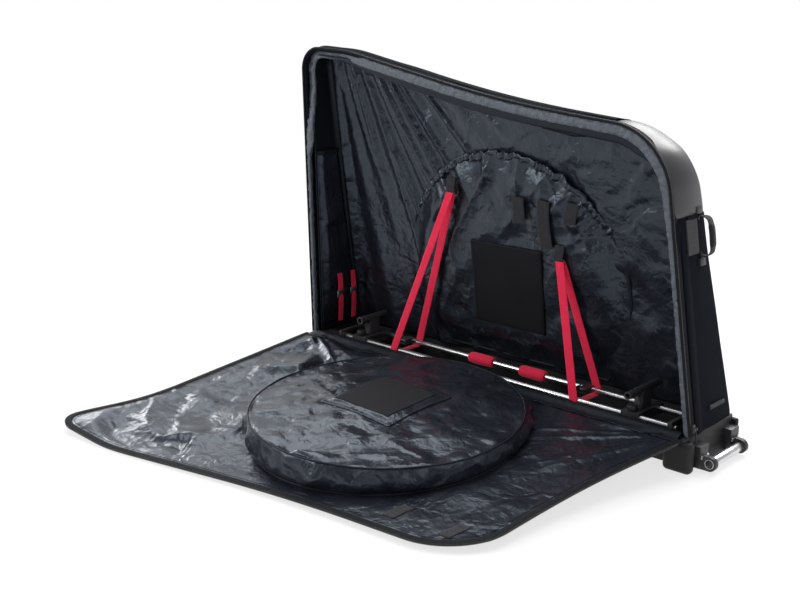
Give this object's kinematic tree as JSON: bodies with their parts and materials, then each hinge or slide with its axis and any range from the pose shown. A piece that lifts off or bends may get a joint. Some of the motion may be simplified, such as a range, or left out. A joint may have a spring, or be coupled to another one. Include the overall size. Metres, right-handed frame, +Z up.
{
  "type": "bike travel case",
  "caption": "Soft-walled bike travel case on a moulded tub, its front flap folded open on the floor, with wheel pockets, a rail stand with strap buckles, rolling wheels and a tow bar.",
  "frame": {"origin": "centre of the case's depth on the floor, under the middle skid runner", "axes": "+X along the case to the tow bar end, -Y to the front where the flap opens, +Z up"},
  "size_m": [1.4089, 1.0791, 0.9397],
  "materials": {
    "outer_cloth": "woven, matte",
    "lining": "coated cloth, shiny",
    "shoulder": "satin",
    "tub_plastic": "moulded, grained",
    "hard_plastic": "moulded",
    "webbing_red": "flat webbing",
    "webbing_black": "flat webbing",
    "zip_tape": "woven tape",
    "tyre_rubber": "matte",
    "rail_metal": "satin anodised",
    "dark_metal": "black coated",
    "steel": "brushed",
    "pvc_rod": "smooth"
  },
  "bodies": {
    "case": {"left_end_wall": "outer_cloth", "top_wall": "outer_cloth", "right_end_wall": "outer_cloth", "back_panel": "outer_cloth", "fold_bead": "outer_cloth", "inner_lip": "lining", "back_wheel_pocket": "lining", "side_pocket": "lining", "pocket_hem": "lining", "pocket_hub_plate": "lining", "shoulder_panel": "shoulder", "base_tub": "tub_plastic", "wheel_housing_front": "tub_plastic", "wheel_housing_rear": "tub_plastic", "skid_runners": "tub_plastic", "tow_bar_brackets": "hard_plastic", "tow_bar_plugs": "hard_plastic", "cam_buckle_left": "hard_plastic", "cam_buckle_right": "hard_plastic", "stand_bracket_left": "hard_plastic", "stand_bracket_right": "hard_plastic", "handle_anchors": "hard_plastic", "frame_strap_left": "webbing_red", "frame_strap_right": "webbing_red", "fork_straps": "webbing_red", "tube_sleeves": "webbing_red", "pocket_tabs": "webbing_black", "case_zip_tape": "zip_tape", "stand_rail_front": "rail_metal", "stand_rail_rear": "rail_metal", "tow_bar_tube": "rail_metal", "wheel_axles": "steel", "base_screws": "steel", "fork_strap_buckles": "steel", "stiffener_rods": "pvc_rod"},
    "flap": {"flap_panel": "lining", "flap_hem": "lining", "flap_zip_tape": "zip_tape", "drum_side": "lining", "drum_top": "lining", "drum_piping": "lining", "drum_hub_patch": "lining"},
    "wheel_front": {"wheel_tyre_front": "tyre_rubber", "wheel_core_front": "hard_plastic", "wheel_bearings_front": "steel"},
    "wheel_rear": {"wheel_tyre_rear": "tyre_rubber", "wheel_core_rear": "hard_plastic", "wheel_bearings_rear": "steel"},
    "slider_left": {"zip_slider_left": "dark_metal"},
    "slider_right": {"zip_slider_right": "dark_metal"},
    "pull_left": {"zip_pull_left": "tyre_rubber"},
    "pull_right": {"zip_pull_right": "tyre_rubber"},
    "handle_left": {"grab_handle_left": "webbing_black"},
    "handle_right": {"grab_handle_right": "webbing_black"},
    "fork_slide": {"fork_carriage": "dark_metal"},
    "rear_slide": {"rear_carriage": "dark_metal"},
    "fork_knob": {"fork_clamp_knob": "hard_plastic"},
    "rear_knob": {"rear_clamp_knob": "hard_plastic"},
    "lever_left": {"cam_lever_left": "dark_metal"},
    "lever_right": {"cam_lever_right": "dark_metal"}
  },
  "joints": [
    {"name": "flap_fold", "type": "hinge", "parent": "case", "child": "flap", "pos_m": [0, -0.117, 0.088], "axis": [-1, 0, 0], "range_deg": [0, 95.5]},
    {"name": "wheel_front_spin", "type": "hinge", "parent": "case", "child": "wheel_front", "pos_m": [-0.613, -0.082, 0.033], "axis": [0, 1, 0], "continuous": true},
    {"name": "wheel_rear_spin", "type": "hinge", "parent": "case", "child": "wheel_rear", "pos_m": [-0.613, 0.082, 0.033], "axis": [0, 1, 0], "continuous": true},
    {"name": "zip_left_slide", "type": "slide", "parent": "case", "child": "slider_left", "axis": [-0.0271, 0, 0.9996], "range_m": [0, 0.74]},
    {"name": "zip_left_pull", "type": "hinge", "parent": "slider_left", "child": "pull_left", "pos_m": [-0.64948, -0.097, 0.10568], "axis": [0, 1, 0], "range_deg": [0, 110]},
    {"name": "handle_left_swing", "type": "hinge", "parent": "case", "child": "handle_left", "pos_m": [-0.65646, 0, 0.54781], "axis": [-0.0271, 0, 0.9996], "range_deg": [-70, 70]},
    {"name": "zip_right_slide", "type": "slide", "parent": "case", "child": "slider_right", "axis": [-0.1574, 0, 0.9875], "range_m": [0, 0.53]},
    {"name": "zip_right_pull", "type": "hinge", "parent": "slider_right", "child": "pull_right", "pos_m": [0.65798, -0.097, 0.10789], "axis": [0, -1, 0], "range_deg": [0, 110]},
    {"name": "handle_right_swing", "type": "hinge", "parent": "case", "child": "handle_right", "pos_m": [0.5826, 0, 0.5491], "axis": [-0.1574, 0, 0.9875], "range_deg": [-70, 70]},
    {"name": "fork_carriage_slide", "type": "slide", "parent": "case", "child": "fork_slide", "axis": [1, 0, 0], "range_m": [-0.035, 0.09]},
    {"name": "fork_knob_turn", "type": "hinge", "parent": "fork_slide", "child": "fork_knob", "pos_m": [-0.47, -0.07, 0.108], "axis": [0, 0, 1], "range_deg": [-180, 180]},
    {"name": "rear_carriage_slide", "type": "slide", "parent": "case", "child": "rear_slide", "axis": [1, 0, 0], "range_m": [-0.12, 0.08]},
    {"name": "rear_knob_turn", "type": "hinge", "parent": "rear_slide", "child": "rear_knob", "pos_m": [0.47, -0.07, 0.108], "axis": [0, 0, 1], "range_deg": [-180, 180]},
    {"name": "cam_left_lever", "type": "hinge", "parent": "case", "child": "lever_left", "pos_m": [-0.33, -0.0335, 0.1044], "axis": [1, 0, 0], "range_deg": [0, 100]},
    {"name": "cam_right_lever", "type": "hinge", "parent": "case", "child": "lever_right", "pos_m": [0.3, -0.0335, 0.1044], "axis": [1, 0, 0], "range_deg": [0, 100]}
  ]
}
